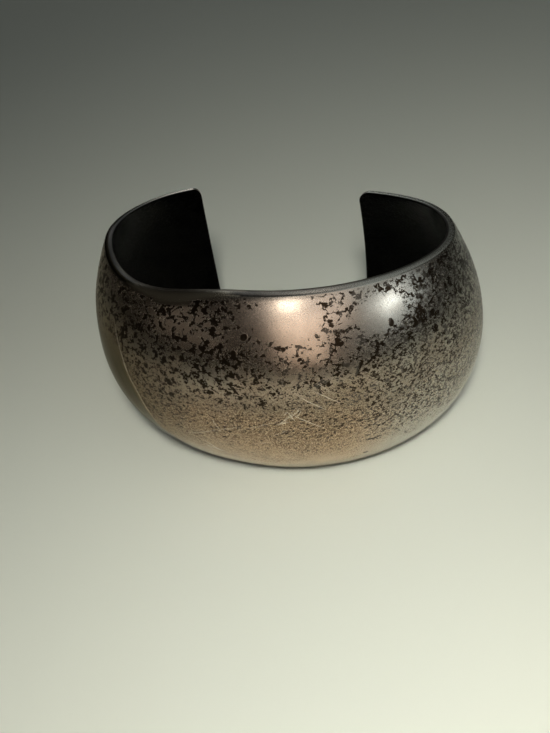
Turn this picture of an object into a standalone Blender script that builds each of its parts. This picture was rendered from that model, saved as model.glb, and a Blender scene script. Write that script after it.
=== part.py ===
"""Domed cuff bracelet: one sheet of silver bent round the wrist, lying on its lower rim.

The sheet is lofted from upright sections. Each section is a curved strip of even
thickness, and the sections follow the oval of the inner rim from one tip, round the
front, to the other tip. Metres, +Z up, front towards -Y.
"""

import math

import bmesh
import bpy
from mathutils import Vector

MM = 0.001

# Main sizes. The inner depth is that of the whole oval, as if the gap were closed.
INNER_WIDTH = 55.0 * MM
INNER_DEPTH = 41.3 * MM
GAP = 29.0 * MM
GAP_SHIFT = -4.8 * MM
HEIGHT_FRONT = 34.0 * MM
HEIGHT_TIPS = 28.0 * MM
WALL = 1.2 * MM

# How far the belly of the band stands out past its rims, and how much more on the right
DOME_FRONT = 8.0 * MM
DOME_TIPS = 1.3 * MM
DOME_LEAN = 0.7 * MM

# Rounded corners of the tips and softened edges
TIP_CORNER = 1.5 * MM
EDGE_ROUND = 0.2 * MM

# Worn dip in the upper rim, left of the front
DIP_DEPTH = 2.3 * MM
DIP_LENGTH = 40.0 * MM
DIP_TURN = -47.0

# Oval of the inner rim, as control rows of a closed smooth curve.
# side and back are shares of half the inner width and half the inner depth.
OVAL_ROWS = (
    {"side": 0.00, "back": -1.02},
    {"side": 0.40, "back": -0.97},
    {"side": 0.80, "back": -0.66},
    {"side": 1.08, "back": -0.02},
    {"side": 0.88, "back": 0.73},
    {"side": 0.34, "back": 0.91},
    {"side": 0.03, "back": 0.91},
    {"side": -0.41, "back": 1.09},
    {"side": -0.95, "back": 0.74},
    {"side": -1.05, "back": -0.03},
    {"side": -0.78, "back": -0.64},
    {"side": -0.39, "back": -0.93},
)

# Fineness of the loft
OVAL_STEPS = 720
STATIONS = 84
CORNER_STEPS = 4
ARC_STEPS = 12
EDGE_STEPS = 2

SILVER_COLOUR = (0.38, 0.34, 0.30, 1.0)
SILVER_ROUGHNESS = 0.38
COLLECTION_NAME = "domed_cuff_bracelet"


def clear_scene():
    for item in list(bpy.data.objects):
        bpy.data.objects.remove(item, do_unlink=True)


def make_collection():
    collection = bpy.data.collections.new(COLLECTION_NAME)
    bpy.context.scene.collection.children.link(collection)
    return collection


def make_silver():
    material = bpy.data.materials.new("aged_silver")
    material.use_nodes = True
    shader = material.node_tree.nodes["Principled BSDF"]
    shader.inputs["Base Color"].default_value = SILVER_COLOUR
    shader.inputs["Metallic"].default_value = 1.0
    shader.inputs["Roughness"].default_value = SILVER_ROUGHNESS
    return material


def oval_point(turns):
    """Point of the closed control curve, in shares; turns runs from 0 to 1 from the front."""
    count = len(OVAL_ROWS)
    place = turns * count
    row = math.floor(place)
    t = place - row
    weights = (
        (1 - t) ** 3 / 6,
        (3 * t ** 3 - 6 * t ** 2 + 4) / 6,
        (-3 * t ** 3 + 3 * t ** 2 + 3 * t + 1) / 6,
        t ** 3 / 6,
    )
    side = 0.0
    back = 0.0
    for step, weight in enumerate(weights):
        control = OVAL_ROWS[(row + step - 1) % count]
        side += weight * control["side"]
        back += weight * control["back"]
    return side, back


def fit_to(values, size):
    """Values moved and scaled so that they span size about zero."""
    low = min(values)
    high = max(values)
    return [(value - (low + high) / 2) * size / (high - low) for value in values]


def rim_path():
    """Inner rim from the left tip, round the front, to the right tip, as closely set points."""
    start = 0.5
    turns = [start + step / OVAL_STEPS for step in range(OVAL_STEPS)]
    shares = [oval_point(turn % 1.0) for turn in turns]
    xs = fit_to([share[0] for share in shares], INNER_WIDTH)
    ys = fit_to([share[1] for share in shares], INNER_DEPTH)
    left = GAP_SHIFT - GAP / 2
    right = GAP_SHIFT + GAP / 2
    front = range(OVAL_STEPS // 4, OVAL_STEPS * 3 // 4)
    first = next(i for i in reversed(range(front[0])) if xs[i] > left)
    last = next(i for i in range(front[-1], OVAL_STEPS) if xs[i] < right)
    left_tip = cross_at(xs, ys, first, left)
    right_tip = cross_at(xs, ys, last - 1, right)
    middle = [Vector((xs[i], ys[i])) for i in range(first + 1, last)]
    return [left_tip] + middle + [right_tip]


def cross_at(xs, ys, index, x):
    """Point between two neighbouring points where the path reaches x."""
    share = (x - xs[index]) / (xs[index + 1] - xs[index])
    return Vector((x, ys[index] + share * (ys[index + 1] - ys[index])))


def walk(path):
    """Distance of each point along the path."""
    lengths = [0.0]
    for before, after in zip(path, path[1:]):
        lengths.append(lengths[-1] + (after - before).length)
    return lengths


def point_at(path, lengths, distance):
    """Point of the path at a distance, and the direction that faces out from the wrist."""
    index = 0
    while index < len(lengths) - 2 and lengths[index + 1] < distance:
        index += 1
    before = path[index]
    after = path[index + 1]
    share = (distance - lengths[index]) / (lengths[index + 1] - lengths[index])
    ahead = (path[min(index + 2, len(path) - 1)] - path[max(index - 1, 0)]).normalized()
    outward = Vector((ahead.y, -ahead.x))
    return before.lerp(after, share), outward


def station_distances(total):
    """Where the sections stand along the rim, closer together in the rounded tip corners."""
    turns = [math.pi / 2 * step / CORNER_STEPS for step in range(CORNER_STEPS)]
    corner = [TIP_CORNER * (1 - math.cos(turn)) for turn in turns]
    plain = total - 2 * TIP_CORNER
    middle = [TIP_CORNER + plain * step / STATIONS for step in range(STATIONS + 1)]
    return corner + middle + [total - distance for distance in reversed(corner)]


def corner_cut(distance, total):
    """How much the rounded corner takes off the top and the bottom at this distance."""
    inset = max(0.0, TIP_CORNER - min(distance, total - distance))
    return TIP_CORNER - math.sqrt(max(0.0, TIP_CORNER ** 2 - inset ** 2))


def dip_at(distance, centre):
    """How far the worn dip lowers the upper rim at this distance."""
    reach = abs(distance - centre) / (DIP_LENGTH / 2)
    if reach >= 1:
        return 0.0
    return DIP_DEPTH * math.cos(math.pi / 2 * reach) ** 2


def strip_arc(height, dome, offset, low, high):
    """Upright arc of the strip, as pairs of distance outwards and height."""
    radius = (height ** 2 / 4 + dome ** 2) / (2 * dome)
    points = []
    for step in range(ARC_STEPS + 1):
        z = low + (high - low) * step / ARC_STEPS
        reach = math.sqrt((radius + offset) ** 2 - (z - height / 2) ** 2)
        points.append((reach - (radius - dome), z))
    return points


def section_outline(height, dome, cut):
    """Closed outline of one section: up the outer face and down the inner face."""
    low = cut
    high = height - cut
    outer = strip_arc(height, dome, WALL, low, high)
    inner = strip_arc(height, dome, 0.0, low, high)
    return outer + inner[::-1]


def make_sections():
    """Rings of points, one for each section, from the left tip to the right tip."""
    path = rim_path()
    lengths = walk(path)
    total = lengths[-1]
    front_y = min(point.y for point in path)
    tip_y = (path[0].y + path[-1].y) / 2
    turn = math.radians(DIP_TURN)
    dip_way = Vector((math.sin(turn), -math.cos(turn)))
    dip_index = max(range(len(path)), key=lambda i: path[i].normalized().dot(dip_way))
    rings = []
    for distance in station_distances(total):
        place, outward = point_at(path, lengths, distance)
        forward = (tip_y - place.y) / (tip_y - front_y)
        height = HEIGHT_TIPS + (HEIGHT_FRONT - HEIGHT_TIPS) * forward
        height -= dip_at(distance, lengths[dip_index])
        dome = DOME_TIPS + (DOME_FRONT - DOME_TIPS) * forward
        dome += DOME_LEAN * place.x / (INNER_WIDTH / 2)
        ring = []
        for reach, z in section_outline(height, dome, corner_cut(distance, total)):
            spot = place + outward * reach
            ring.append(Vector((spot.x, spot.y, z)))
        rings.append(ring)
    return rings


def centred(rings):
    """Rings moved so that the whole body is centred over the origin."""
    xs = [point.x for ring in rings for point in ring]
    ys = [point.y for ring in rings for point in ring]
    shift = Vector(((min(xs) + max(xs)) / 2, (min(ys) + max(ys)) / 2, 0.0))
    return [[point - shift for point in ring] for ring in rings]


def loft(rings):
    """Closed mesh through the rings, with both ends filled across the thickness."""
    mesh = bmesh.new()
    rows = [[mesh.verts.new(point) for point in ring] for ring in rings]
    size = len(rows[0])
    for before, after in zip(rows, rows[1:]):
        for i in range(size):
            j = (i + 1) % size
            mesh.faces.new((before[i], after[i], after[j], before[j]))
    for row in (rows[0], rows[-1]):
        for i in range(size // 2 - 1):
            mesh.faces.new((row[i], row[i + 1], row[size - 2 - i], row[size - 1 - i]))
    bmesh.ops.recalc_face_normals(mesh, faces=mesh.faces)
    return mesh


def make_cuff(collection, material):
    mesh = loft(centred(make_sections()))
    data = bpy.data.meshes.new("cuff_band")
    mesh.to_mesh(data)
    mesh.free()
    data.materials.append(material)
    data.shade_smooth()
    cuff = bpy.data.objects.new("cuff_band", data)
    collection.objects.link(cuff)
    soften = cuff.modifiers.new("soft_edges", "BEVEL")
    soften.width = EDGE_ROUND
    soften.segments = EDGE_STEPS
    soften.limit_method = "ANGLE"
    soften.angle_limit = math.radians(28.0)
    return cuff


def main():
    clear_scene()
    collection = make_collection()
    make_cuff(collection, make_silver())


main()
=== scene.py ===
"""Worn domed cuff bracelet over its CAD band, with a pale floor, soft lights and the camera."""

import math
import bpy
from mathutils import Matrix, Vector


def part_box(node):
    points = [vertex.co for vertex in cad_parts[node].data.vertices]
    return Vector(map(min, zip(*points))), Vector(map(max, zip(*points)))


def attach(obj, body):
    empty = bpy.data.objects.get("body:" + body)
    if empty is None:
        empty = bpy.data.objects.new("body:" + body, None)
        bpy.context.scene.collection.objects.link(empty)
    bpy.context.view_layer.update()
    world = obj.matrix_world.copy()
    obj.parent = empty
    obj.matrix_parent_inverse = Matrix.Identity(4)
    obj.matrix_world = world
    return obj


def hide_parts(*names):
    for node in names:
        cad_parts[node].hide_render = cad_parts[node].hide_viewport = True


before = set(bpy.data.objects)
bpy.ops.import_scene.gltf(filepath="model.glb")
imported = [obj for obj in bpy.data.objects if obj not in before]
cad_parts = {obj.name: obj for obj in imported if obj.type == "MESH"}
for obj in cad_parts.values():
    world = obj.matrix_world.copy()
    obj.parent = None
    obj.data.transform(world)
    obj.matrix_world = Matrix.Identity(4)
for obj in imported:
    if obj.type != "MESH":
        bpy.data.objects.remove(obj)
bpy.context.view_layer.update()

from types import SimpleNamespace

import bpy
from mathutils import Matrix, Vector, noise

MM = 0.001

# Main sizes of the band, as in its solid
INNER_WIDTH = 55.0 * MM
INNER_DEPTH = 41.3 * MM
GAP = 29.0 * MM
GAP_SHIFT = -4.8 * MM
HEIGHT_FRONT = 34.0 * MM
HEIGHT_TIPS = 28.0 * MM
WALL = 1.2 * MM
DOME_FRONT = 8.0 * MM
DOME_TIPS = 1.3 * MM
DOME_LEAN = 0.7 * MM
TIP_CORNER = 1.5 * MM
DIP_DEPTH = 2.3 * MM
DIP_LENGTH = 40.0 * MM
DIP_TURN = -47.0

# Oval of the inner rim, as shares of half the inner width and half the inner depth
OVAL_ROWS = (
    (0.00, -1.02),
    (0.40, -0.97),
    (0.80, -0.66),
    (1.08, -0.02),
    (0.88, 0.73),
    (0.34, 0.91),
    (0.03, 0.91),
    (-0.41, 1.09),
    (-0.95, 0.74),
    (-1.05, -0.03),
    (-0.78, -0.64),
    (-0.39, -0.93),
)

# Rounding of the worn rims: outer and inner edge of the top, then of the bottom
TOP_OUTER_ROUND_FRONT = 0.45 * MM
TOP_OUTER_ROUND_TIPS = 0.35 * MM
TOP_INNER_ROUND = 0.18 * MM
BOTTOM_OUTER_ROUND = 0.35 * MM
BOTTOM_INNER_ROUND = 0.22 * MM
END_ROUND = 0.42 * MM

# The right tip is worn back a little and rounder at its corners
RIGHT_TIP_WORN = 0.40 * MM
RIGHT_TIP_CORNER = 2.3 * MM

# Fineness of the surface; the way out at a point is taken across a few steps of the oval
OVAL_STEPS = 1440
OVAL_START = 0.5
HEADING_STEPS = 3
STATIONS = 470
CORNER_STEPS = 10
OUTER_STEPS = 42
INNER_STEPS = 20
TOP_ROUND_STEPS = 8
EDGE_ROUND_STEPS = 4

# Facet worn on the upper rim; its centre is a place along the band. The mask runs from
# nothing to all between two shares of its softness.
RIM_FACET_TILT = 67.0
RIM_FACET_DEPTH = 0.44 * MM
RIM_FACET_CENTRE = -12.0 * MM
RIM_FACET_LENGTH = 21.0 * MM
FACET_SOFTNESS = 0.02 * MM
FACET_MASK = (-2.0, 1.0)
SOFT_START_END = 30.0

# Flank worn smooth low on the left: rows of distance along the band and height of its edge,
# then, in mm, the heights and places along the band between which it sets in
FLANK_EDGE = (
    (-34.0, 33.0),
    (-22.5, 26.0),
    (-19.6, 21.1),
    (-19.0, 19.6),
    (-17.1, 16.1),
    (-16.5, 13.7),
    (-15.3, 9.4),
    (-11.1, 4.7),
    (-6.0, 2.0),
)
FLANK_DEPTH = 0.16 * MM
FLANK_REACH = 3.0 * MM
FLANK_HEIGHT = (25.0, 18.0)
FLANK_ALONG = (-44.0, -33.0)
FAR_OUTSIDE = -99.0

# Slight waviness of the sheet, and how far from the rims, in mm, it sets in
WAVE_DEPTH = 0.05 * MM
WAVE_LENGTH = 11.0 * MM
HAMMER_DEPTH = 0.012 * MM
HAMMER_LENGTH = 2.6 * MM
HAMMER_SHIFT = (7.0, 3.0, 1.0)
RIM_CALM = (0.3, 3.0)

# Flat layout for the bake: how much the outer face is favoured, the share of the width that
# the long parts take, and the gaps
MAP_OUTER = 3.0
MAP_WIDTH = 0.975
MAP_MARGIN = 0.006

# Sockets of a Mix node that works on colours
MIX_SHARE = 0
MIX_FIRST = 6
MIX_SECOND = 7
MIX_RESULT = 2

# How far a noise's colour is drawn out before it moves a place
SHAKE_GAIN = 2.5

# How much the marks are drawn out along the band
SQUAT = 1.55

# Scratches: start and end as distance along the band and height, then width, all in mm
SCRATCHES = (
    (4.9, 21.7, 7.9, 18.7, 0.10),
    (6.8, 22.1, 9.5, 19.4, 0.09),
    (7.3, 23.1, 8.4, 21.8, 0.07),
    (3.9, 18.8, 7.4, 15.3, 0.11),
    (2.6, 16.4, 4.9, 19.7, 0.08),
    (3.2, 17.1, 5.2, 19.5, 0.10),
    (4.6, 18.0, 5.3, 19.2, 0.08),
    (3.2, 18.5, 3.9, 19.0, 0.09),
    (2.3, 16.6, 3.8, 17.1, 0.16),
    (3.8, 18.8, 4.4, 17.3, 0.13),
    (-10.2, 11.2, -5.5, 14.1, 0.08),
    (-5.5, 14.1, -2.0, 15.7, 0.07),
    (-1.9, 15.2, 2.8, 17.3, 0.06),
    (-5.5, 16.5, -4.8, 13.9, 0.08),
    (1.6, 14.2, 3.7, 15.6, 0.07),
    (-8.1, 10.8, -6.0, 7.8, 0.18),
    (-8.2, 9.4, -7.0, 7.0, 0.15),
    (-7.9, 8.9, -5.7, 8.0, 0.26),
    (-0.5, 12.2, 1.3, 12.5, 0.07),
)
SCRATCH_FALL = -0.7

# Dark nicks and round spots: place along the band, height, half length, half width, in mm
SPOTS = (
    (12.9, 10.1, 0.75, 0.16),
    (12.2, 5.8, 0.38, 0.22),
    (-0.6, 29.6, 0.45, 0.42),
    (-1.9, 27.4, 0.34, 0.50),
    (16.8, 28.3, 0.36, 0.48),
    (0.2, 12.9, 0.16, 0.14),
)

# Places with no dark marks, laid out as the spots are
BARE = (
    (4.5, 31.5, 4.6, 2.6),
    (15.9, 29.7, 3.4, 2.2),
)

# How thickly each kind of mark lies: rows of place, in mm, and share.
# Zones run up from the bottom rim, sides run along the band from the left tip.
ZONE_ENDS = (0.0, 36.0)
SIDE_ENDS = (-64.0, 64.0)
SHARD_ZONE = ((0, 0), (16.0, 0), (20.5, 0.78), (24.5, 1.0), (36, 1.0))
SHARD_SIDES = (
    (-64, 0.8), (-36, 0.9), (-22, 1.0), (-8, 1.0), (-3, 0.95), (2, 0.86),
    (9, 0.86), (13, 0.88), (20, 0.93), (34, 0.98), (64, 0.8),
)
STROKE_ZONE = (
    (0, 0.1), (6.0, 0.2), (11.0, 0.6), (15.0, 1.0),
    (21.0, 0.95), (25.0, 0.5), (28, 0.25), (36, 0.1),
)
STROKE_ZONE_RIGHT = (
    (0, 0.05), (7, 0.35), (11, 0.85), (15, 1.0), (27, 1.0), (31, 0.75), (36, 0.4),
)
STROKE_SIDES = (
    (-64, 0.8), (-25, 0.95), (-12, 0.9), (-5, 0.75), (0, 0.75),
    (8, 0.8), (14, 0.95), (20, 1.0), (40, 1.0), (64, 0.8),
)
MOTTLE_ZONE = (
    (0, 0.0), (5.0, 0.1), (8.0, 0.45), (12, 0.8), (16, 0.95),
    (20, 0.8), (24, 0.1), (26, 0.0), (36, 0.0),
)

# How warm the metal is, where painted shade darkens it, how polished the rim top is with painted
# shade and painted reflection on it, and how the inner face turns from tarnish and painted shade to
# a painted reflection, laid out as the marks are
WARM_ZONE = ((0, 0.75), (10, 1.0), (18, 0.9), (25, 0.35), (36, 0.15))
SHADE_ZONE = ((0, 0), (15.5, 0), (20.0, 0.6), (25, 0.35), (31, 0), (36, 0))
SHOULDER_SIDES = ((-64, 0), (-40, 0.5), (-24, 0.9), (0, 0.85), (7, 0.4), (14, 0), (64, 0))
RIM_POLISH_AND_SHADE_SIDES = (
    (-64, 1.0), (-57, 0.6), (-50, 0.1), (-44, 0.0), (-24, 0.0), (-15, 0.03), (-5, 0.04),
    (1, 0.06), (5, 0.22), (10, 0.8), (20, 0.95), (32, 0.9), (42, 0.5), (64, 0.5),
)
HOLLOW_ENDS = (0.0, 64.0)
HOLLOW_SIDES = ((0, 1.0), (14, 1.0), (23, 0.35), (33, 0.16), (46, 0.02), (64, 0.0))

# Noises on the metal: how many to the mm, detail, roughness, warp and shift
NOISES = {
    "loose": (0.16, 3.0, 0.55, 0.0, (0, 0, 0)),
    "clump": (0.30, 2.0, 0.5, 0.0, (31, 25, 9)),
    "bead": (1.15, 2.5, 0.6, 0.0, (70, 7, 21)),
    "blot": (1.1, 3.0, 0.6, 0.2, (11, 60, 2)),
    "dash": (1.5, 2.0, 0.6, 0.0, (7, 71, 2)),
    "grain": (3.9, 2.0, 0.55, 0.5, (8, 2, 77)),
    "gleam": (3.0, 2.0, 0.6, 0.5, (19, 3, 5)),
    "cloud": (0.5, 4.0, 0.6, 0.0, (50, 50, 4)),
    "scratch": (1.3, 2.0, 0.6, 0.0, (90, 4, 4)),
    "depth": (0.55, 2.0, 0.5, 0.0, (22, 22, 8)),
    "soot": (0.35, 3.0, 0.6, 0.0, (5, 5, 5)),
    "fine": (5.0, 3.0, 0.65, 0.0, (1, 2, 3)),
    "speck": (7.0, 2.0, 0.6, 0.0, (4, 4, 9)),
}

# Noises that move the place of a mark: how many to the mm, how far and shift
SHAKES = {
    "shard_wide": (0.8, 1.1, (3, 17, 40)),
    "shard_fine": (2.6, 0.42, (9, 1, 4)),
    "stroke": (1.6, 0.6, (13, 37, 4)),
}

# Soft borders: nothing at the first number, all at the second. The ones named for a height,
# for along or for drop, the distance below the upper rim, are in mm.
FADES = {
    "crown_drop": (0.1, 0.35),
    "low_height": (25.0, 18.0),
    "low_along": (-40.0, -31.0),
    "flank_edge": (-0.3, 0.6),
    "off_facet": (0.6, 0.2),
    "bare": (0.55, 1.25),
    "rightward_along": (6.0, 18.0),
    "blot": (-0.004, 0.004),
    "spot": (1.1, 0.9),
    "gleam": (0.54, 0.60),
    "outer_face": (0.5, 0.2),
    "inner_face": (0.45, 0.95),
    "worn_line": (0.20, 0.05),
    "worn_line_height": (8.0, 13.0),
    "worn_line_end_height": (27.0, 23.0),
    "right_along": (9.0, 18.0),
    "left_shade_along": (-3.0, -20.0),
    "left_shade_height": (30.0, 18.0),
    "left_arm_along": (-46.0, -32.0),
    "foot_height": (6.0, 0.0),
    "smooth_flank": (-0.4, 1.2),
    "shoulder_drop": (0.6, 0.2),
    "rim_top_drop": (0.12, 0.03),
    "depth": (0.50, 0.60),
    "depth_along": (-6.0, 14.0),
    "grazing_along": (-8.0, -20.0),
    "sparkle_along": (-9.0, -2.0),
}

# Straight scalings: the first two numbers become the last two, which are also the limits
SCALES = {
    "lift": (0.3, 0.7, -2.6, 2.6),
    "clump": (0.36, 0.52, 0.76, 1.0),
    "bead": (0.36, 0.64, -0.15, 0.17),
    "shard_reach": (0.0, 1.0, -0.28, 0.115),
    "blot_level": (0.0, 1.0, 0.84, 0.70),
    "spot_edge": (0.3, 0.7, -0.3, 0.3),
    "dash": (0.38, 0.64, -0.13, 0.15),
    "stroke_reach": (0.0, 1.0, -0.22, 0.08),
    "mottle_reach": (0.0, 1.0, 0.088, 0.045),
    "scratch_shake": (0.3, 0.7, -0.12, 0.12),
    "scratch_ends": (0.3, 1.0, 1.0, 0.35),
    "worn_line": (0.35, 0.6, 0.25, 1.0),
    "clouded": (0.35, 0.65, 0.0, 0.35),
    "flank_cloud": (0.35, 0.65, 0.0, 1.0),
    "soot": (0.35, 0.7, 0.0, 1.0),
    "inner_reflection": (0.4, 0.6, 0.0, 1.0),
    "fine": (0.35, 0.65, -0.034, 0.034),
    "speck": (0.0, 1.0, 0.0004, 0.0016),
}

# Shards and strokes lie along the borders of cells: cells to the mm, and blur of their edges.
# The mottle lies where a noise is near its middle value: gap that none of it fills, and blur.
CROWN_SHAKE = 0.04
RIGHT_SHARD_DROP = 2.5
SHARD_CELLS = 0.60
SHARD_BLUR = 0.014
STROKE_CELLS = 1.35
STROKE_BLUR = 0.016
STROKE_STRENGTH = 0.95
NOISE_MIDDLE = 0.5
MOTTLE_GAP = 0.012
MOTTLE_BLUR = 0.012

# Colours of the metal, then how strongly the ones laid over it cover
COOL_METAL = (0.42, 0.385, 0.35, 1.0)
WARM_METAL = (0.66, 0.47, 0.315, 1.0)
RIGHT_METAL = (0.51, 0.505, 0.465, 1.0)
CLOUDED_METAL = (0.30, 0.255, 0.21, 1.0)
# Painted shade: the left of the outer face is darkened where it lies in shade
LEFT_PAINTED_SHADE = (0.20, 0.150, 0.085, 1.0)
SHADED_METAL = (0.25, 0.20, 0.15, 1.0)
# Painted shade: the metal darkened towards the foot, where it meets the floor
FOOT_PAINTED_SHADE = (0.21, 0.175, 0.13, 1.0)
# Worn smooth flank, its colour darkened well below the metal's as painted shade
FLANK_WORN_SHADED_LIGHT = (0.070, 0.056, 0.034, 1.0)
FLANK_WORN_SHADED_DARK = (0.042, 0.033, 0.020, 1.0)
# Painted shade: a dark line just below the top of the rim, on the left and front
SHOULDER_PAINTED_SHADE = (0.17, 0.16, 0.145, 1.0)
# Top of the rim: polished front; polished right with a painted greenish reflection; near black at
# the left bend as painted shade
POLISHED_FRONT = (0.52, 0.49, 0.44, 1.0)
POLISHED_RIGHT_PAINTED_REFLECTION = (0.68, 0.74, 0.69, 1.0)
RIM_PAINTED_SHADE = (0.008, 0.0075, 0.006, 1.0)
FACET_METAL = (0.50, 0.47, 0.38, 1.0)
GLEAM_METAL = (0.70, 0.53, 0.34, 1.0)
MOTTLE_DARK = (0.12, 0.076, 0.040, 1.0)
TARNISH_DEEP = (0.030, 0.021, 0.014, 1.0)
TARNISH_THIN = (0.10, 0.088, 0.075, 1.0)
# Colour of the bright scratches, and of the painted highlight along the worn flank's crease
SCRATCH_AND_HIGHLIGHT_BRIGHT = (0.80, 0.70, 0.58, 1.0)
# Inner face: tarnish darkened to near black as painted shade, and a lighter painted reflection
# towards the tips
HOLLOW_TARNISH_SHADE_DEEP = (0.002, 0.002, 0.002, 1.0)
HOLLOW_TARNISH_SHADE_THIN = (0.006, 0.0055, 0.005, 1.0)
INNER_REFLECTION_DARK = (0.055, 0.048, 0.038, 1.0)
INNER_REFLECTION_LIGHT = (0.13, 0.115, 0.092, 1.0)
TINT_PLAIN = (1.0, 1.0, 1.0, 1.0)
# Grazing reflection darkened on the left and at the foot as painted shade
TINT_LEFT_PAINTED_SHADE = (0.70, 0.66, 0.58, 1.0)
TINT_FOOT_PAINTED_SHADE = (0.50, 0.46, 0.38, 1.0)
RIGHT_COVER = 0.8
LEFT_PAINTED_SHADE_COVER = 0.85
GLEAM_COVER = 0.65
MOTTLE_COVER = 0.85
FOOT_PAINTED_SHADE_COVER = 0.95
FACET_COVER = 0.8
SCRATCH_AND_HIGHLIGHT_COVER = 0.85
PAINTED_FLANK_HIGHLIGHT_COVER = 0.9

# Roughness of clean metal, and what each kind of mark adds to it
ROUGHNESS = 0.256
DARK_ROUGHNESS = 0.08
MOTTLE_ROUGHNESS = 0.1
INNER_ROUGHNESS = 0.1

# Relief of each kind of mark, in mm
DARK_RELIEF = -0.030
MOTTLE_RELIEF = -0.012
SCRATCH_RELIEF = -0.020

FLOOR_SIZE = 8.0
FLOOR_COLOUR = (0.66, 0.715, 0.66, 1.0)
FLOOR_ROUGHNESS = 0.75

# Points that the lights face: the front of the band, and the floor before it
BAND_FRONT = Vector((0.009, -0.0177, 0.031))
FLOOR_FRONT = Vector((0.055, -0.068, 0.0))
PLAIN_SPREAD = 180.0
FLOOR_SPREAD = 88.0

# Soft lights: turn and rise in degrees as seen from the front of the band, distance, width,
# height, watts, colour, and whether they light the floor, the metal's gloss or both
LIGHTS = {
    "lamp_floor": (20.0, 50.5, 0.24, 0.050, 0.050, 0.182, (1.0, 0.93, 0.82), "floor"),
    "lamp_warm": (9.5, 52.5, 0.30, 0.050, 0.050, 0.066, (1.0, 0.93, 0.82), "metal"),
    "glow_warm": (26.0, 47.0, 0.50, 0.40, 0.25, 0.290, (1.0, 0.87, 0.77), "metal"),
    "panel_warm": (18.0, 25.0, 0.50, 0.24, 0.30, 0.290, (1.0, 0.83, 0.69), "metal"),
    "window_core": (81.0, 27.5, 0.50, 0.12, 0.08, 0.106, (0.97, 1.0, 0.98), "metal"),
    "window_wide": (84.0, 24.0, 0.60, 0.42, 0.26, 0.170, (0.89, 1.0, 1.02), "both"),
    "overhead": (60.0, 78.0, 0.80, 0.80, 0.80, 0.25, (0.82, 1.0, 1.05), "both"),
    "zenith": (140.0, 80.0, 0.60, 0.70, 0.70, 0.30, (1.0, 0.96, 0.90), "metal"),
    "right_high": (82.0, 50.0, 0.60, 0.34, 0.26, 0.055, (0.95, 1.0, 0.97), "metal"),
    "left_glow": (-52.0, 20.0, 0.60, 0.50, 0.22, 0.046, (1.0, 0.88, 0.74), "metal"),
    "back_panel": (-170.0, 36.0, 0.60, 0.50, 0.30, 0.09, (1.0, 0.97, 0.92), "metal"),
    "back_strip": (-155.0, 25.0, 0.60, 0.16, 0.12, 0.100, (0.97, 1.0, 0.98), "metal"),
    "back_spot": (-163.0, 35.0, 0.60, 0.07, 0.07, 0.030, (1.0, 0.95, 0.88), "metal"),
    "left_fill": (-114.0, 47.0, 0.60, 0.40, 0.30, 0.009, (1.0, 0.97, 0.85), "metal"),
}

# Dim room, brighter towards one turn and rise, with how fast that falls off
ROOM_DARK = (0.012, 0.010, 0.007, 1.0)
ROOM_BRIGHT = (0.26, 0.255, 0.235, 1.0)
ROOM_TURN = 62.0
ROOM_RISE = 38.0
ROOM_FALL = 4.0

CAMERA_PLACE = (0.04180, -0.10740, 0.10001)
CAMERA_AIM = (0.00306, -0.01266, 0.01700)
CAMERA_ROLL = -9.432
CAMERA_NEAR = 0.005
FOCAL_PIXELS = 850.0
FRAME_HEIGHT = 733.0
SENSOR = 36.0


def oval_point(turns):
    """Point of the closed control curve; turns runs from 0 to 1 from the front."""
    count = len(OVAL_ROWS)
    place = turns * count
    row = math.floor(place)
    t = place - row
    weights = (
        (1 - t) ** 3 / 6,
        (3 * t ** 3 - 6 * t ** 2 + 4) / 6,
        (-3 * t ** 3 + 3 * t ** 2 + 3 * t + 1) / 6,
        t ** 3 / 6,
    )
    side = 0.0
    back = 0.0
    for step, weight in enumerate(weights):
        control = OVAL_ROWS[(row + step - 1) % count]
        side += weight * control[0]
        back += weight * control[1]
    return side, back


def fit_to(values, size):
    """Values moved and scaled so that they span size about zero."""
    low = min(values)
    high = max(values)
    return [(value - (low + high) / 2) * size / (high - low) for value in values]


def cross_at(xs, ys, index, x):
    """Point between two neighbouring points where the path reaches x."""
    share = (x - xs[index]) / (xs[index + 1] - xs[index])
    return Vector((x, ys[index] + share * (ys[index + 1] - ys[index])))


def rim_path():
    """Inner rim from the left tip, round the front, to the right tip."""
    turns = [OVAL_START + step / OVAL_STEPS for step in range(OVAL_STEPS)]
    shares = [oval_point(turn % 1.0) for turn in turns]
    xs = fit_to([share[0] for share in shares], INNER_WIDTH)
    ys = fit_to([share[1] for share in shares], INNER_DEPTH)
    left = GAP_SHIFT - GAP / 2
    right = GAP_SHIFT + GAP / 2 + RIGHT_TIP_WORN
    front = range(OVAL_STEPS // 4, OVAL_STEPS * 3 // 4)
    first = next(i for i in reversed(range(front[0])) if xs[i] > left)
    last = next(i for i in range(front[-1], OVAL_STEPS) if xs[i] < right)
    left_tip = cross_at(xs, ys, first, left)
    right_tip = cross_at(xs, ys, last - 1, right)
    middle = [Vector((xs[i], ys[i])) for i in range(first + 1, last)]
    return [left_tip] + middle + [right_tip]


def walk(path):
    """Distance of each point along the path."""
    lengths = [0.0]
    for before, after in zip(path, path[1:]):
        lengths.append(lengths[-1] + (after - before).length)
    return lengths


def point_at(path, lengths, distance, start):
    """Point of the path at a distance, the way that faces out, and where the search ended."""
    index = start
    while index < len(lengths) - 2 and lengths[index + 1] < distance:
        index += 1
    before = path[index]
    after = path[index + 1]
    share = (distance - lengths[index]) / (lengths[index + 1] - lengths[index])
    far = min(index + 1 + HEADING_STEPS, len(path) - 1)
    ahead = path[far] - path[max(index - HEADING_STEPS, 0)]
    ahead.normalize()
    return before.lerp(after, share), Vector((ahead.y, -ahead.x)), index


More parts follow.
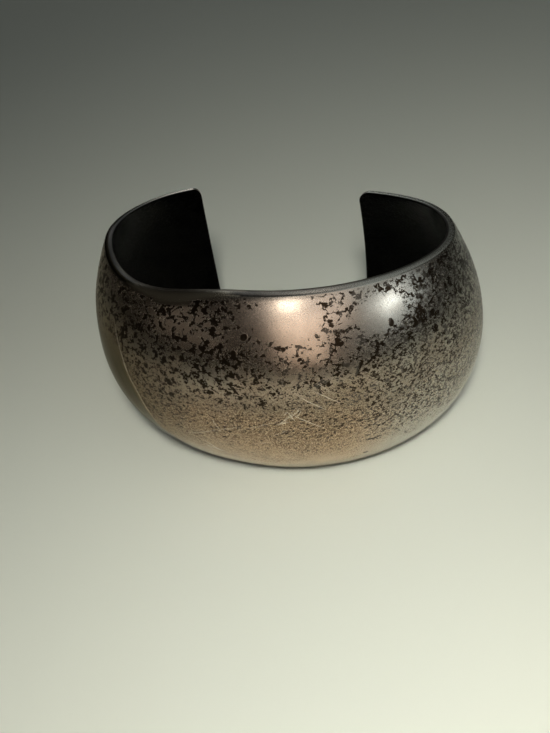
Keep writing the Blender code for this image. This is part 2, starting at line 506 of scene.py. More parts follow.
def station_distances(total):
    """Where the sections stand along the rim, closer together at the rounded tips."""
    turns = [math.pi / 2 * step / CORNER_STEPS for step in range(CORNER_STEPS)]
    ends = [END_ROUND * (1 - math.cos(turn)) for turn in turns]
    corner = [
        END_ROUND + (TIP_CORNER - END_ROUND) * step / CORNER_STEPS
        for step in range(CORNER_STEPS)
    ]
    plain = total - 2 * TIP_CORNER
    middle = [TIP_CORNER + plain * step / STATIONS for step in range(STATIONS + 1)]
    first = ends + corner
    return first + middle + [total - distance for distance in reversed(first)]


def round_off(radius, distance, total):
    """How much a rounding of this radius at the ends takes off at this distance."""
    inset = max(0.0, radius - min(distance, total - distance))
    return radius - math.sqrt(max(0.0, radius ** 2 - inset ** 2))


def bell(reach):
    """Smooth hump from 1 at no reach to 0 at a reach of 1."""
    if abs(reach) >= 1:
        return 0.0
    return math.cos(math.pi / 2 * reach) ** 2


def smooth_step(value, low, high):
    """Smooth step of value: 0 at low, 1 at high, which may also be below low."""
    share = min(1.0, max(0.0, (value - low) / (high - low)))
    return share * share * (3 - 2 * share)


def rounding(centre, radius, first, last, steps):
    """Points of a rounded edge between two directions, in degrees."""
    points = []
    for step in range(steps + 1):
        turn = math.radians(first + (last - first) * step / steps)
        points.append((centre[0] + radius * math.cos(turn), centre[1] + radius * math.sin(turn)))
    return points


def section_outline(height, dome, cut, thin):
    """Rounded outline of one section, and the centre of its arcs.

    A point of the outline is its distance outwards, its height and 1 on the inner face.
    """
    arc = (height ** 2 / 4 + dome ** 2) / (2 * dome)
    axis = dome - arc
    middle = height / 2
    outer = arc + WALL - thin
    inner = arc + thin
    most = (WALL - 2 * thin) / WALL
    bulge = (dome - DOME_TIPS) / (DOME_FRONT - DOME_TIPS)
    top_outer = TOP_OUTER_ROUND_TIPS + (TOP_OUTER_ROUND_FRONT - TOP_OUTER_ROUND_TIPS) * bulge
    rounds = {
        "top_outer": top_outer * most,
        "top_inner": TOP_INNER_ROUND * most,
        "bottom_outer": BOTTOM_OUTER_ROUND * most,
        "bottom_inner": BOTTOM_INNER_ROUND * most,
    }
    centres = {}
    slope = {}
    for name, radius in rounds.items():
        reach = outer - radius if name.endswith("outer") else inner + radius
        level = height - cut - radius if name.startswith("top") else cut + radius
        out = axis + math.sqrt(reach ** 2 - (level - middle) ** 2)
        centres[name] = (out, level)
        slope[name] = math.degrees(math.atan2(level - middle, out - axis))

    def edge(name, first, last, steps):
        return rounding(centres[name], rounds[name], first, last, steps)

    def face(radius, first, last, steps):
        return rounding((axis, middle), radius, slope[first], slope[last], steps)[1:-1]

    up = edge("bottom_outer", -90, slope["bottom_outer"], EDGE_ROUND_STEPS)
    up += face(outer, "bottom_outer", "top_outer", OUTER_STEPS)
    up += edge("top_outer", slope["top_outer"], 90, TOP_ROUND_STEPS)
    down = edge("top_inner", 90, 180 + slope["top_inner"], EDGE_ROUND_STEPS)
    down += face(inner, "top_inner", "bottom_inner", INNER_STEPS)
    down += edge("bottom_inner", 180 + slope["bottom_inner"], 270, EDGE_ROUND_STEPS)
    outline = [(reach, z, 0.0) for reach, z in up] + [(reach, z, 1.0) for reach, z in down]
    return outline, (axis, middle)


def soft_excess(over):
    """What lies over zero, with a soft start."""
    return over if over > SOFT_START_END else math.log1p(math.exp(over))


def worn_rim(spots, centre_gap):
    """Points with the outer edge of the upper rim cut back to a flat facet, and a mask of it."""
    depth = RIM_FACET_DEPTH * bell(centre_gap / RIM_FACET_LENGTH * 2)
    if depth <= 0:
        return spots, [0.0] * len(spots)
    tilt = math.radians(RIM_FACET_TILT)
    normal = (math.cos(tilt), math.sin(tilt))
    top = max(spot[0] * normal[0] + spot[1] * normal[1] for spot in spots)
    level = top - depth
    worn = []
    mask = []
    for reach, z, face in spots:
        over = (reach * normal[0] + z * normal[1] - level) / FACET_SOFTNESS
        back = FACET_SOFTNESS * soft_excess(over)
        worn.append((reach - back * normal[0], z - back * normal[1], face))
        mask.append(smooth_step(over, *FACET_MASK) if face < 0.5 else 0.0)
    return worn, mask


def flank_share(along, height):
    """How far a place lies past the edge of the worn flank, in mm; below 0 is outside it."""
    best = FAR_OUTSIDE
    for before, after in zip(FLANK_EDGE, FLANK_EDGE[1:]):
        run = (after[0] - before[0], after[1] - before[1])
        length = math.hypot(*run)
        gap = (along - before[0], height - before[1])
        share = min(1.0, max(0.0, (gap[0] * run[0] + gap[1] * run[1]) / length ** 2))
        near = (gap[0] - share * run[0], gap[1] - share * run[1])
        side = run[0] * gap[1] - run[1] * gap[0]
        distance = math.hypot(*near) * (1.0 if side < 0 else -1.0)
        if abs(distance) < abs(best):
            best = distance
    return best


def worn_inset(spot, along, height, drop, past):
    """How far in the outer face lies at a spot, from its waves and the worn flank."""
    wave = 0.5 + 0.5 * noise.noise(spot / WAVE_LENGTH)
    hammer = 0.5 + 0.5 * noise.noise(spot / HAMMER_LENGTH + Vector(HAMMER_SHIFT))
    calm = smooth_step(drop, *RIM_CALM) * smooth_step(height, *RIM_CALM)
    inset = (WAVE_DEPTH * wave + HAMMER_DEPTH * hammer) * calm
    inset += (
        FLANK_DEPTH * smooth_step(past, 0.0, FLANK_REACH / MM) * calm
        * smooth_step(height, *FLANK_HEIGHT) * smooth_step(along, *FLANK_ALONG)
    )
    return inset


def make_points():
    """Rings of points and, for each point, its place on the band and its distance from the rims."""
    path = rim_path()
    lengths = walk(path)
    total = lengths[-1]
    front_y = min(point.y for point in path)
    tip_y = (path[0].y + path[-1].y) / 2
    turn = math.radians(DIP_TURN)
    dip_way = Vector((math.sin(turn), -math.cos(turn)))
    dip_index = max(range(len(path)), key=lambda i: path[i].normalized().dot(dip_way))
    dip_centre = lengths[dip_index]
    rings = []
    bands = []
    edges = []
    index = 0
    for distance in station_distances(total):
        place, outward, index = point_at(path, lengths, distance, index)
        forward = (tip_y - place.y) / (tip_y - front_y)
        height = HEIGHT_TIPS + (HEIGHT_FRONT - HEIGHT_TIPS) * forward
        height -= DIP_DEPTH * bell((distance - dip_centre) / (DIP_LENGTH / 2))
        dome = DOME_TIPS + (DOME_FRONT - DOME_TIPS) * forward
        dome += DOME_LEAN * place.x / (INNER_WIDTH / 2)
        corner = TIP_CORNER if distance < total / 2 else RIGHT_TIP_CORNER
        thin = round_off(END_ROUND, distance, total)
        cut = round_off(corner, distance, total) + thin
        spots, hub = section_outline(height, dome, cut, thin)
        spots, facet = worn_rim(spots, distance - total / 2 - RIM_FACET_CENTRE)
        along = (distance - total / 2) / MM
        ring = []
        band = []
        edge = []
        for (reach, z, face), worn in zip(spots, facet):
            spot = Vector((place.x + outward.x * reach, place.y + outward.y * reach, z))
            drop = (height - z) / MM
            past = FAR_OUTSIDE
            if face < 0.5:
                way = Vector((reach - hub[0], z - hub[1])).normalized()
                normal = Vector((outward.x * way.x, outward.y * way.x, way.y))
                past = flank_share(along, z / MM)
                spot -= normal * worn_inset(spot, along, z / MM, drop, past)
            ring.append(spot)
            band.append((along, z / MM, face))
            edge.append((drop, worn, past))
        rings.append(ring)
        bands.append(band)
        edges.append(edge)
    return rings, bands, edges


def centred(rings):
    """Rings moved so that the body is centred over the origin, as its solid is."""
    low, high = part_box("cuff_band")
    xs = [point.x for ring in rings for point in ring]
    ys = [point.y for ring in rings for point in ring]
    shift = Vector((
        (min(xs) + max(xs) - low.x - high.x) / 2,
        (min(ys) + max(ys) - low.y - high.y) / 2,
        0.0,
    ))
    return [[point - shift for point in ring] for ring in rings]


def around_shares(ring, spots):
    """How far round the section each point lies, from 0 to 1, with the outer face stretched."""
    shares = [0.0]
    for i in range(len(ring)):
        j = (i + 1) % len(ring)
        inner = (spots[i][2] + spots[j][2]) / 2
        weight = MAP_OUTER * (1 - inner) + inner
        shares.append(shares[-1] + (ring[j] - ring[i]).length * weight)
    return [share / shares[-1] for share in shares]


def tip_places(ring, base, turned):
    """Places of one tip's end face in the flat layout, in the strip beside the long parts."""
    top = max(point.z for point in ring)
    flat = [Vector((point.x, point.y)) for point in ring]
    middle = sum(flat, Vector((0.0, 0.0))) / len(ring)
    out = max(flat, key=lambda spot: (spot - middle).length) - middle
    out.normalize()
    reach = [(spot - middle).dot(out) for spot in flat]
    low = min(reach)
    span = max(reach) - low
    places = []
    for i in (reversed(range(len(ring))) if turned else range(len(ring))):
        share = (reach[i] - low) / span
        u = MAP_WIDTH + (1 - MAP_WIDTH) * (1 - share if turned else share)
        places.append((u, base + (0.5 - MAP_MARGIN) * ring[i].z / top))
    return places


def lay_out(mesh, rings, bands):
    """Flat layout of the band: the front above, the two arms side by side below, then the tips."""
    around = around_shares(rings[len(rings) // 2], bands[len(rings) // 2])
    along = [spots[0][0] for spots in bands]
    arm = (along[-1] - along[0]) / 4
    first = next(i for i, place in enumerate(along) if place >= along[0] + arm)
    last = next(i for i, place in enumerate(along) if place >= along[-1] - arm)
    # First and last ring, left side, base and share of the width
    parts = (
        (0, first, 0.0, 0.0, 0.5),
        (first, last, 0.0, 0.5, 1.0),
        (last, len(rings) - 1, 0.5, 0.0, 0.5),
    )
    places = []
    for low, high, left, base, share in parts:
        span = along[high] - along[low]
        wide = share * MAP_WIDTH - MAP_MARGIN
        for row in range(low, high):
            for i in range(len(rings[0])):
                for station, turn in ((row, i), (row + 1, i), (row + 1, i + 1), (row, i + 1)):
                    u = left * MAP_WIDTH + wide * (along[station] - along[low]) / span
                    v = base + (0.5 - MAP_MARGIN) * (1 - around[turn])
                    places.append((u, v))
    places += tip_places(rings[0], 0.0, True) + tip_places(rings[-1], 0.5, False)
    layer = mesh.uv_layers.new(name="OFBake")
    layer.data.foreach_set("uv", [value for place in places for value in place])


def build_band():
    rings, bands, edges = make_points()
    rings = centred(rings)
    size = len(rings[0])
    points = [point for ring in rings for point in ring]
    faces = []
    for row in range(len(rings) - 1):
        near = row * size
        far = near + size
        for i in range(size):
            j = (i + 1) % size
            faces.append((near + i, far + i, far + j, near + j))
    last = (len(rings) - 1) * size
    faces.append(tuple(reversed(range(size))))
    faces.append(tuple(last + i for i in range(size)))
    mesh = bpy.data.meshes.new("cuff_surface")
    mesh.from_pydata(points, [], faces)
    lay_out(mesh, rings, bands)
    mesh.flip_normals()
    for name, rows in (("band", bands), ("edge", edges)):
        made = mesh.attributes.new(name, "FLOAT_VECTOR", "POINT")
        made.data.foreach_set("vector", [v for row in rows for spot in row for v in spot])
    mesh.shade_smooth()
    mesh.update()
    cuff = bpy.data.objects.new("cuff_surface", mesh)
    bpy.context.scene.collection.objects.link(cuff)
    return cuff


class Graph:
    """Short calls that add shader nodes to one tree and join them."""

    def __init__(self, tree):
        self.tree = tree

    def node(self, kind, **settings):
        made = self.tree.nodes.new(kind)
        for name, value in settings.items():
            setattr(made, name, value)
        return made

    def put(self, socket, value):
        if isinstance(value, bpy.types.NodeSocket):
            self.tree.links.new(value, socket)
        elif value is not None:
            socket.default_value = value

    def math(self, operation, first, second=None):
        made = self.node("ShaderNodeMath", operation=operation)
        for socket, value in zip(made.inputs, (first, second)):
            self.put(socket, value)
        return made.outputs[0]

    def chain(self, operation, values):
        result = values[0]
        for value in values[1:]:
            result = self.math(operation, result, value)
        return result

    def product(self, *values):
        return self.chain("MULTIPLY", values)

    def total(self, *values):
        return self.chain("ADD", values)

    def most(self, *values):
        return self.chain("MAXIMUM", values)

    def vector(self, operation, first, second=None, scale=None):
        made = self.node("ShaderNodeVectorMath", operation=operation)
        self.put(made.inputs[0], first)
        if second is not None:
            self.put(made.inputs[1], second)
        if scale is not None:
            self.put(made.inputs["Scale"], scale)
        single = operation in ("DOT_PRODUCT", "LENGTH", "DISTANCE")
        return made.outputs["Value" if single else "Vector"]

    def flat(self, first, second):
        """Vector with nothing upwards."""
        made = self.node("ShaderNodeCombineXYZ")
        self.put(made.inputs[0], first)
        self.put(made.inputs[1], second)
        return made.outputs[0]

    def parts(self, name):
        """The three numbers of a mesh attribute."""
        made = self.node("ShaderNodeSeparateXYZ")
        source = self.node("ShaderNodeAttribute", attribute_name=name)
        self.put(made.inputs[0], source.outputs["Vector"])
        return made.outputs

    def step(self, value, low, high):
        """Smooth step of value: 0 at low, 1 at high, which may also be below low."""
        made = self.node("ShaderNodeMapRange", interpolation_type="SMOOTHSTEP")
        self.put(made.inputs["Value"], value)
        self.put(made.inputs["From Min"], low)
        self.put(made.inputs["From Max"], high)
        return made.outputs["Result"]

    def fade(self, value, name):
        return self.step(value, *FADES[name])

    def linear(self, value, low, high, first, last):
        made = self.node("ShaderNodeMapRange")
        for name, number in (
            ("Value", value),
            ("From Min", low),
            ("From Max", high),
            ("To Min", first),
            ("To Max", last),
        ):
            self.put(made.inputs[name], number)
        return made.outputs["Result"]

    def scale(self, value, name):
        return self.linear(value, *SCALES[name])

    def noise(self, place, name):
        scale, detail, roughness, warp, shift = NOISES[name]
        made = self.node("ShaderNodeTexNoise")
        self.put(made.inputs["Vector"], self.vector("ADD", place, shift))
        self.put(made.inputs["Scale"], scale)
        self.put(made.inputs["Detail"], detail)
        self.put(made.inputs["Roughness"], roughness)
        self.put(made.inputs["Distortion"], warp)
        return made.outputs[0]

    def shaken(self, place, name):
        """Place moved about by a noise, by up to about half of the row's amount."""
        scale, amount, shift = SHAKES[name]
        made = self.node("ShaderNodeTexNoise")
        self.put(made.inputs["Vector"], self.vector("ADD", place, shift))
        self.put(made.inputs["Scale"], scale)
        away = self.vector("SUBTRACT", made.outputs["Color"], (0.5, 0.5, 0.5))
        return self.vector("ADD", place, self.vector("SCALE", away, scale=amount * SHAKE_GAIN))

    def blend(self, share, first, second):
        """Colour between first and second."""
        made = self.node("ShaderNodeMix", data_type="RGBA")
        self.put(made.inputs[MIX_SHARE], share)
        self.put(made.inputs[MIX_FIRST], first)
        self.put(made.inputs[MIX_SECOND], second)
        return made.outputs[MIX_RESULT]

    def curve(self, value, ends, stops):
        """Value read from rows of place and level, with straight runs between them."""
        low, high = ends
        share = self.linear(value, low, high, 0.0, 1.0)
        made = self.node("ShaderNodeValToRGB")
        self.put(made.inputs[0], share)
        ramp = made.color_ramp
        rows = [((place - low) / (high - low), level) for place, level in stops]
        ramp.elements[0].position = rows[0][0]
        ramp.elements[0].color = (rows[0][1],) * 3 + (1.0,)
        ramp.elements[1].position = rows[-1][0]
        ramp.elements[1].color = (rows[-1][1],) * 3 + (1.0,)
        for place, level in rows[1:-1]:
            stop = ramp.elements.new(place)
            stop.color = (level,) * 3 + (1.0,)
        return made.outputs[0]

    def veins(self, place, scale, reach, blur):
        """Mask of the places within reach of the borders of irregular cells."""
        made = self.node("ShaderNodeTexVoronoi", feature="DISTANCE_TO_EDGE")
        self.put(made.inputs["Vector"], place)
        self.put(made.inputs["Scale"], scale)
        return self.step(self.math("SUBTRACT", reach, made.outputs["Distance"]), -blur, blur)

    def worms(self, field, reach, gap, blur):
        """Mask of the places where a noise lies within reach of its middle value."""
        ridge = self.math("ABSOLUTE", self.math("SUBTRACT", field, NOISE_MIDDLE))
        inside = self.math("SUBTRACT", self.math("SUBTRACT", reach, gap), ridge)
        return self.step(inside, -blur, blur)

    def oval(self, place, row):
        """How far a place lies from an oval's middle: 1 on its edge."""
        x, z, long, wide = row
        gap = self.vector("SUBTRACT", place, (x, z, 0.0))
        gap = self.vector("MULTIPLY", gap, (1 / long, 1 / wide, 0.0))
        return self.vector("LENGTH", gap)


def scratch_group():
    """Node group: how close a place lies to a straight scratch, from 0 to 1."""
    group = bpy.data.node_groups.new("scratch", "ShaderNodeTree")
    for name, kind in (
        ("Place", "NodeSocketVector"),
        ("Start", "NodeSocketVector"),
        ("End", "NodeSocketVector"),
        ("Width", "NodeSocketFloat"),
    ):
        group.interface.new_socket(name, in_out="INPUT", socket_type=kind)
    group.interface.new_socket("Mark", in_out="OUTPUT", socket_type="NodeSocketFloat")
    graph = Graph(group)
    source = graph.node("NodeGroupInput").outputs
    gap = graph.vector("SUBTRACT", source["Place"], source["Start"])
    run = graph.vector("SUBTRACT", source["End"], source["Start"])
    square = graph.vector("DOT_PRODUCT", run, run)
    share = graph.math("DIVIDE", graph.vector("DOT_PRODUCT", gap, run), square)
    held = graph.math("MINIMUM", graph.math("MAXIMUM", share, 0.0), 1.0)
    foot = graph.vector("SCALE", run, scale=held)
    away = graph.vector("DISTANCE", gap, foot)
    ends = graph.product(graph.math("ABSOLUTE", graph.math("SUBTRACT", held, 0.5)), 2.0)
    slim = graph.scale(ends, "scratch_ends")
    mark = graph.step(away, graph.product(source["Width"], slim), 0.0)
    sink = graph.node("NodeGroupOutput")
    graph.put(sink.inputs["Mark"], mark)
    return group


def band_fields(graph):
    """Fields that the marks and colours share, starting with where a point lies, in mm."""
    source = graph.node("ShaderNodeTexCoord").outputs["Object"]
    place = graph.vector("SCALE", source, scale=1 / MM)
    along, height, inside = graph.parts("band")
    drop, facet, past = graph.parts("edge")
    lift = graph.scale(graph.noise(place, "loose"), "lift")
    return SimpleNamespace(
        place=place, along=along, height=height, drop=drop, facet=facet, past=past,
        lift=lift,
        level=graph.total(height, lift),
        flat=graph.flat(along, height),
        squat=graph.vector("MULTIPLY", place, (1.0, 1.0, SQUAT)),
        rightward=graph.fade(along, "rightward_along"),
        cloud=graph.noise(place, "cloud"),
        outer=graph.fade(inside, "outer_face"),
        inner=graph.fade(inside, "inner_face"),
        low_left=graph.product(
            graph.fade(height, "low_height"), graph.fade(along, "low_along")
        ),
        foot=graph.fade(height, "foot_height"),
        sparkle=graph.fade(along, "sparkle_along"),
    )


def add_limits(graph, at):
    """Where no mark lies: above the worn crown, on the worn flank and facet, and on bare places."""
    crown = graph.total(at.drop, graph.product(at.lift, CROWN_SHAKE))
    at.crown = graph.fade(crown, "crown_drop")
    worn = graph.product(graph.fade(at.past, "flank_edge"), at.low_left)
    at.flank = graph.math("SUBTRACT", 1.0, worn)
    bare = graph.product(*[graph.fade(graph.oval(at.flat, row), "bare") for row in BARE])
    at.whole = graph.product(at.crown, at.flank, bare, graph.fade(at.facet, "off_facet"))


def add_dark_marks(graph, at):
    """Sharp-edged shards in chains and rings, blots, single spots, and smaller strokes."""
    lower = graph.math("SUBTRACT", at.level, graph.product(at.rightward, RIGHT_SHARD_DROP))
    thick = graph.product(
        graph.curve(lower, ZONE_ENDS, SHARD_ZONE),
        graph.curve(at.along, SIDE_ENDS, SHARD_SIDES),
        at.whole,
        graph.scale(graph.noise(at.place, "clump"), "clump"),
    )
    bent = graph.shaken(graph.shaken(at.squat, "shard_wide"), "shard_fine")
    reach = graph.total(
        graph.scale(graph.noise(at.place, "bead"), "bead"), graph.scale(thick, "shard_reach")
    )
    shards = graph.veins(bent, SHARD_CELLS, reach, SHARD_BLUR)
    blot = graph.noise(at.place, "blot")
    over = graph.math("SUBTRACT", blot, graph.scale(thick, "blot_level"))
    blots = graph.fade(over, "blot")
    rough = graph.scale(blot, "spot_edge")
    spots = graph.most(*[
        graph.fade(graph.total(graph.oval(at.flat, row), rough), "spot") for row in SPOTS
    ])

    zone = graph.curve(at.level, ZONE_ENDS, STROKE_ZONE)
    right = graph.curve(at.level, ZONE_ENDS, STROKE_ZONE_RIGHT)
    more = graph.product(graph.math("SUBTRACT", right, zone), at.rightward)
    thick = graph.product(
        graph.total(zone, more), graph.curve(at.along, SIDE_ENDS, STROKE_SIDES), at.whole
    )
    reach = graph.total(
        graph.scale(graph.noise(at.squat, "dash"), "dash"), graph.scale(thick, "stroke_reach")
    )
    strokes = graph.veins(graph.shaken(at.squat, "stroke"), STROKE_CELLS, reach, STROKE_BLUR)
    at.dark = graph.most(shards, blots, spots, graph.product(strokes, STROKE_STRENGTH))


def add_mottle(graph, at):
    """Fine mottle below the strokes, and gleams among it."""
    zone = graph.curve(at.level, ZONE_ENDS, MOTTLE_ZONE)
    reach = graph.product(zone, at.flank, graph.scale(at.rightward, "mottle_reach"))
    mottle = graph.worms(graph.noise(at.squat, "grain"), reach, MOTTLE_GAP, MOTTLE_BLUR)
    at.mottle = graph.product(mottle, at.crown)
    at.gleam = graph.product(graph.fade(graph.noise(at.squat, "gleam"), "gleam"), zone)


def add_scratches(graph, at):
    """Bright scratches, and a painted highlight along the crease at the edge of the worn flank."""
    group = scratch_group()
    shake = graph.scale(graph.noise(at.place, "scratch"), "scratch_shake")
    shift = graph.flat(shake, graph.product(shake, SCRATCH_FALL))
    place = graph.vector("ADD", at.flat, shift)
    marks = []
    for x0, z0, x1, z1, width in SCRATCHES:
        made = graph.node("ShaderNodeGroup", node_tree=group)
        graph.put(made.inputs["Place"], place)
        graph.put(made.inputs["Start"], (x0, z0, 0.0))
        graph.put(made.inputs["End"], (x1, z1, 0.0))
        graph.put(made.inputs["Width"], width)
        marks.append(made.outputs["Mark"])
    at.scratches = graph.product(graph.most(*marks), at.outer)
    at.worn_line = graph.product(
        graph.fade(graph.math("ABSOLUTE", at.past), "worn_line"),
        graph.fade(at.height, "worn_line_height"),
        graph.fade(at.height, "worn_line_end_height"),
        graph.scale(at.cloud, "worn_line"),
    )


def rim_colour(graph, at, right):
    """Colour of the very top of the rim, polished at the front right with a painted greenish
    reflection at the right, and near black at the left bend as painted shade.
    """
    polish_and_reflection = graph.blend(right, POLISHED_FRONT, POLISHED_RIGHT_PAINTED_REFLECTION)
    share = graph.curve(at.along, SIDE_ENDS, RIM_POLISH_AND_SHADE_SIDES)
    return graph.blend(share, RIM_PAINTED_SHADE, polish_and_reflection)


def outer_colour(graph, at):
    """Colour of the outer face: metal, wear, tarnish and scratches, with painted shade on the left,
    at the foot, below the rim and in a band at mid height, and a painted highlight along the worn
    flank's crease.
    """
    metal = graph.blend(graph.curve(at.level, ZONE_ENDS, WARM_ZONE), COOL_METAL, WARM_METAL)
    right = graph.fade(at.along, "right_along")
    metal = graph.blend(graph.product(right, RIGHT_COVER), metal, RIGHT_METAL)
    metal = graph.blend(graph.scale(at.cloud, "clouded"), metal, CLOUDED_METAL)
    # Painted shade: the metal on the left of the front, below the rim, is darkened
    left_shade = graph.product(
        graph.fade(at.along, "left_shade_along"),
        graph.fade(at.height, "left_shade_height"),
        graph.fade(at.along, "left_arm_along"),
    )
    metal = graph.blend(graph.product(left_shade, LEFT_PAINTED_SHADE_COVER), metal, LEFT_PAINTED_SHADE)
    metal = graph.blend(graph.product(at.gleam, GLEAM_COVER), metal, GLEAM_METAL)
    metal = graph.blend(graph.product(at.mottle, MOTTLE_COVER), metal, MOTTLE_DARK)
    metal = graph.blend(graph.curve(at.level, ZONE_ENDS, SHADE_ZONE), metal, SHADED_METAL)
    # Painted shade towards the foot of the band
    metal = graph.blend(graph.product(at.foot, FOOT_PAINTED_SHADE_COVER), metal, FOOT_PAINTED_SHADE)

    # Painted shade just below the top of the rim
    shoulder = graph.curve(at.along, SIDE_ENDS, SHOULDER_SIDES)
    shoulder = graph.product(shoulder, graph.fade(at.drop, "shoulder_drop"))
    metal = graph.blend(shoulder, metal, SHOULDER_PAINTED_SHADE)
    metal = graph.blend(graph.fade(at.drop, "rim_top_drop"), metal, rim_colour(graph, at, right))
    metal = graph.blend(graph.product(at.facet, FACET_COVER), metal, FACET_METAL)
    # The worn smooth flank, darkened as painted shade
    smooth = graph.product(graph.fade(at.past, "smooth_flank"), at.low_left)
    flank = graph.blend(graph.scale(at.cloud, "flank_cloud"), FLANK_WORN_SHADED_LIGHT, FLANK_WORN_SHADED_DARK)
    metal = graph.blend(smooth, metal, flank)

    depth = graph.fade(graph.noise(at.place, "depth"), "depth")
    depth = graph.product(depth, graph.fade(at.along, "depth_along"))
    metal = graph.blend(at.dark, metal, graph.blend(depth, TARNISH_DEEP, TARNISH_THIN))
    # Bright scratches, and the painted highlight along the flank's crease
    bright = graph.most(at.scratches, graph.product(at.worn_line, PAINTED_FLANK_HIGHLIGHT_COVER))
    return graph.blend(graph.product(bright, SCRATCH_AND_HIGHLIGHT_COVER), metal, SCRATCH_AND_HIGHLIGHT_BRIGHT)


def inner_colour(graph, at):
    """Colour of the inner face: tarnish darkened to near black as painted shade in the front, a
    lighter painted reflection towards the tips.
    """
    soot = graph.scale(graph.noise(at.place, "soot"), "soot")
    tarnish_and_shade = graph.blend(soot, HOLLOW_TARNISH_SHADE_DEEP, HOLLOW_TARNISH_SHADE_THIN)
    painted_reflection = graph.blend(graph.scale(at.cloud, "inner_reflection"), INNER_REFLECTION_DARK, INNER_REFLECTION_LIGHT)
    turned = graph.curve(graph.math("ABSOLUTE", at.along), HOLLOW_ENDS, HOLLOW_SIDES)
    return graph.blend(turned, tarnish_and_shade, painted_reflection)


def edge_tint(graph, at):
    """Tint of the reflection at a grazing angle, darkened on the left and at the foot as painted
    shade.
    """
    left = graph.product(
        graph.fade(at.along, "grazing_along"), graph.fade(at.along, "left_arm_along"), at.outer
    )
    tint = graph.blend(left, TINT_PLAIN, TINT_LEFT_PAINTED_SHADE)
    return graph.blend(graph.product(at.foot, at.outer), tint, TINT_FOOT_PAINTED_SHADE)


def roughness(graph, at):
    fine = graph.scale(graph.noise(at.place, "fine"), "fine")
    return graph.total(
        graph.product(fine, at.sparkle),
        ROUGHNESS,
        graph.product(at.dark, DARK_ROUGHNESS),
        graph.product(at.mottle, MOTTLE_ROUGHNESS),
        graph.product(at.inner, INNER_ROUGHNESS),
    )


def relief(graph, at):
    """Shading of the marks' relief, for the shader's normal."""
    speck = graph.product(graph.noise(at.place, "speck"), graph.scale(at.sparkle, "speck"))
    height = graph.total(
        graph.product(at.dark, DARK_RELIEF),
        graph.product(at.mottle, MOTTLE_RELIEF),
        graph.product(at.scratches, SCRATCH_RELIEF),
        speck,
    )
    made = graph.node("ShaderNodeBump")
    graph.put(made.inputs["Strength"], 1.0)
    graph.put(made.inputs["Distance"], MM)
    graph.put(made.inputs["Height"], height)
    return made.outputs["Normal"]


def make_silver():
    """Worn and tarnished silver."""
    material = bpy.data.materials.new("tarnished_silver")
    material.use_nodes = True
    shader = material.node_tree.nodes["Principled BSDF"]
    graph = Graph(material.node_tree)
    at = band_fields(graph)
    add_limits(graph, at)
    add_dark_marks(graph, at)
    add_mottle(graph, at)
    add_scratches(graph, at)
    colour = graph.blend(at.inner, outer_colour(graph, at), inner_colour(graph, at))
    graph.put(shader.inputs["Base Color"], colour)
    graph.put(shader.inputs["Metallic"], 1.0)
    graph.put(shader.inputs["Specular Tint"], edge_tint(graph, at))
    graph.put(shader.inputs["Roughness"], roughness(graph, at))
    graph.put(shader.inputs["Normal"], relief(graph, at))
    return material


def make_floor():
    material = bpy.data.materials.new("pale_floor")
    material.use_nodes = True
    shader = material.node_tree.nodes["Principled BSDF"]
    shader.inputs["Base Color"].default_value = FLOOR_COLOUR
    shader.inputs["Roughness"].default_value = FLOOR_ROUGHNESS
    half = FLOOR_SIZE / 2
    mesh = bpy.data.meshes.new("floor")
    corners = [(-half, -half, 0.0), (half, -half, 0.0), (half, half, 0.0), (-half, half, 0.0)]
    mesh.from_pydata(corners, [], [(0, 1, 2, 3)])
    mesh.materials.append(material)
    floor = bpy.data.objects.new("floor", mesh)
    bpy.context.scene.collection.objects.link(floor)


def direction(turn, rise):
    """Unit vector at a turn to the right of the front and a rise above the floor, in degrees."""
    turn = math.radians(turn)
    rise = math.radians(rise)
    return Vector((
        math.sin(turn) * math.cos(rise),
        -math.cos(turn) * math.cos(rise),
        math.sin(rise),
    ))


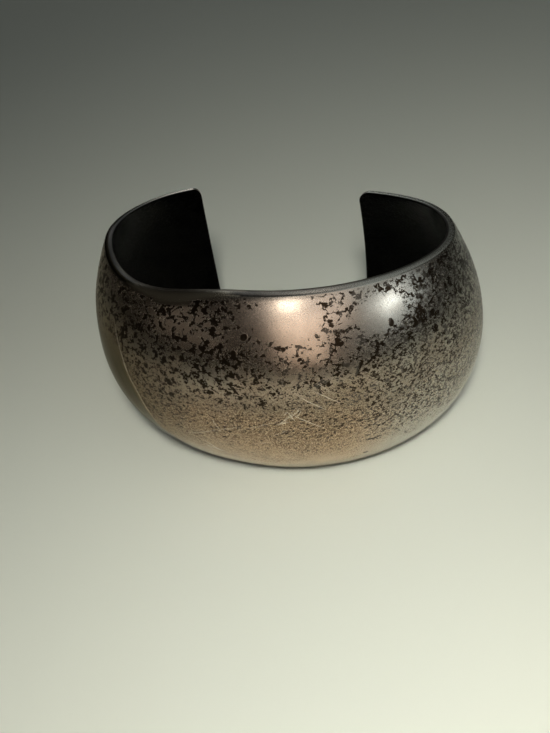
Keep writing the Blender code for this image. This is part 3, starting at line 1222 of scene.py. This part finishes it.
def make_lights():
    for name, row in LIGHTS.items():
        turn, rise, distance, width, height, watts, colour, target = row
        on_floor = target == "floor"
        data = bpy.data.lights.new(name, "AREA")
        data.shape = "RECTANGLE"
        data.size = width
        data.size_y = height
        data.energy = watts
        data.color = colour
        data.spread = math.radians(FLOOR_SPREAD if on_floor else PLAIN_SPREAD)
        light = bpy.data.objects.new(name, data)
        light.location = BAND_FRONT + direction(turn, rise) * distance
        way = (FLOOR_FRONT if on_floor else BAND_FRONT) - light.location
        light.rotation_euler = way.to_track_quat("-Z", "Y").to_euler()
        light.visible_camera = False
        light.visible_glossy = not on_floor
        light.visible_diffuse = target != "metal"
        bpy.context.scene.collection.objects.link(light)


def make_room():
    """Dim surroundings, lighter towards the front right."""
    world = bpy.data.worlds.new("studio")
    world.use_nodes = True
    graph = Graph(world.node_tree)
    way = graph.node("ShaderNodeTexCoord").outputs["Generated"]
    facing = graph.vector("DOT_PRODUCT", way, tuple(direction(ROOM_TURN, ROOM_RISE)))
    share = graph.math("POWER", graph.math("MAXIMUM", facing, 0.0), ROOM_FALL)
    background = world.node_tree.nodes["Background"]
    graph.put(background.inputs["Color"], graph.blend(share, ROOM_DARK, ROOM_BRIGHT))
    bpy.context.scene.world = world


def make_camera():
    data = bpy.data.cameras.new("camera")
    data.sensor_width = SENSOR
    data.lens = FOCAL_PIXELS / FRAME_HEIGHT * SENSOR
    data.clip_start = CAMERA_NEAR
    camera = bpy.data.objects.new("camera", data)
    camera.location = CAMERA_PLACE
    way = Vector(CAMERA_AIM) - Vector(CAMERA_PLACE)
    turn = way.to_track_quat("-Z", "Y").to_matrix() @ Matrix.Rotation(
        math.radians(CAMERA_ROLL), 3, "Z"
    )
    camera.rotation_euler = turn.to_euler()
    bpy.context.scene.collection.objects.link(camera)
    bpy.context.scene.camera = camera
    bpy.context.scene.view_settings.view_transform = "Standard"


cuff = build_band()
cuff.data.materials.append(make_silver())
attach(cuff, "root")
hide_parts("cuff_band")
make_floor()
make_lights()
make_room()
make_camera()
